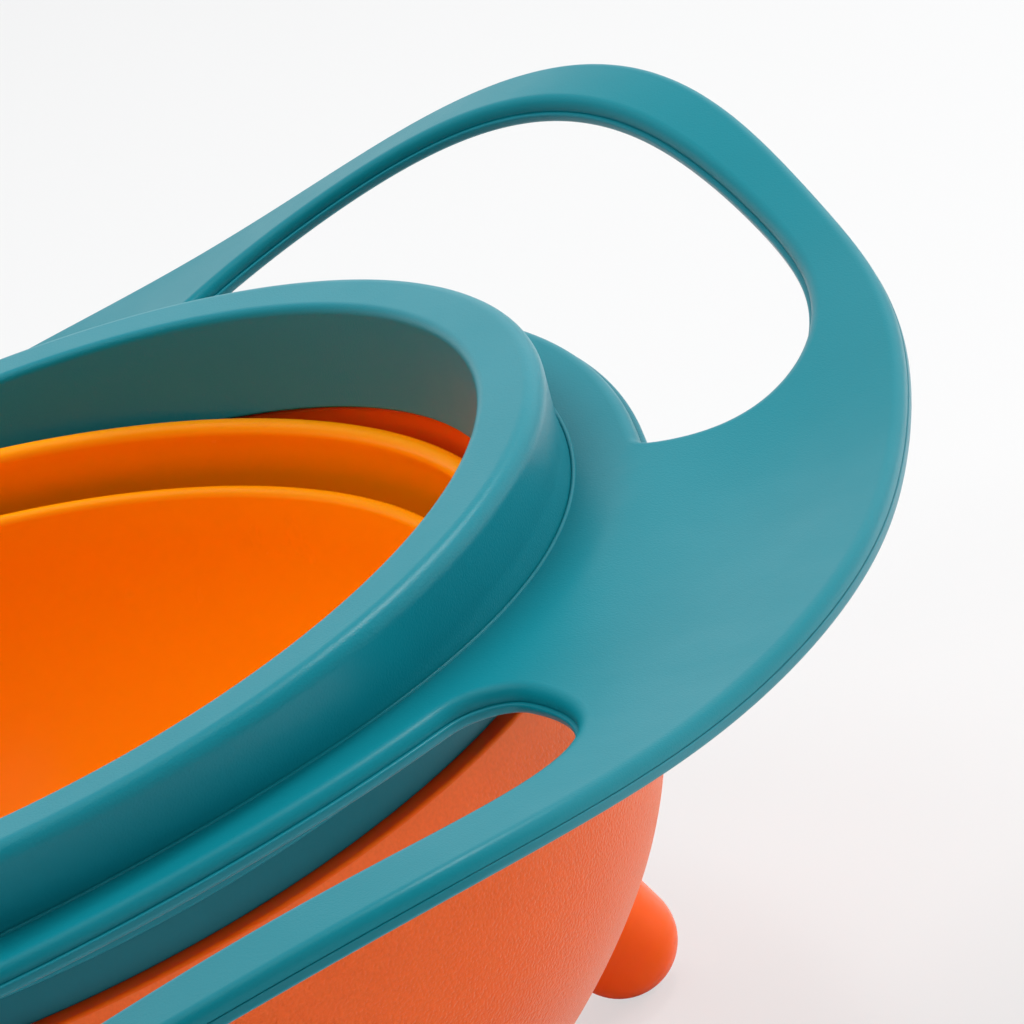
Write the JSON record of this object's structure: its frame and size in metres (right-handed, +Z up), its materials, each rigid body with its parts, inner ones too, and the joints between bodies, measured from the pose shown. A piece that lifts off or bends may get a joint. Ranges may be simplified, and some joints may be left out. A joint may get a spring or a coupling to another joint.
{
  "type": "gyroscopic spill-proof bowl",
  "caption": "Child's spill-proof bowl: an inner bowl hung on crossed gimbal pivots inside a round outer bowl, under a collar with a wavy plate of finger loops.",
  "frame": {"origin": "on the collar's axis, in the plane of the feet's flats that the bowl stands on", "axes": "+Z up along the collar's axis; Y is the axis of the gimbal ring's pivots; +X is the side towards which the swung inner bowl dips"},
  "size_m": [0.2359, 0.2366, 0.0937],
  "materials": {
    "teal_satin": "fine-grained satin",
    "teal_lower": "satin",
    "coral_frosted": "fine leather grain",
    "orange_gloss": "gloss",
    "foot_gloss": "gloss",
    "pin_plain": "plain moulded"
  },
  "bodies": {
    "frame": {"rim_collar": "teal_satin", "upper_handle_shell": "teal_satin", "lower_handle_shell": "teal_lower", "skirt_ring": "teal_lower", "outer_bowl": "coral_frosted", "foot_right": "foot_gloss", "foot_back": "foot_gloss", "foot_front": "foot_gloss"},
    "ring": {"gimbal_ring": "orange_gloss", "gimbal_pin_back": "pin_plain", "gimbal_pin_front": "pin_plain"},
    "bowl": {"inner_bowl": "orange_gloss", "bowl_pin_right": "pin_plain", "bowl_pin_left": "pin_plain"}
  },
  "joints": [
    {"name": "ring_swing", "type": "hinge", "parent": "frame", "child": "ring", "pos_m": [0, 0, 0.0695], "axis": [0, 1, 0], "continuous": true},
    {"name": "bowl_swing", "type": "hinge", "parent": "ring", "child": "bowl", "pos_m": [0, 0, 0.0695], "axis": [0.9839, 0, -0.1788], "continuous": true}
  ]
}
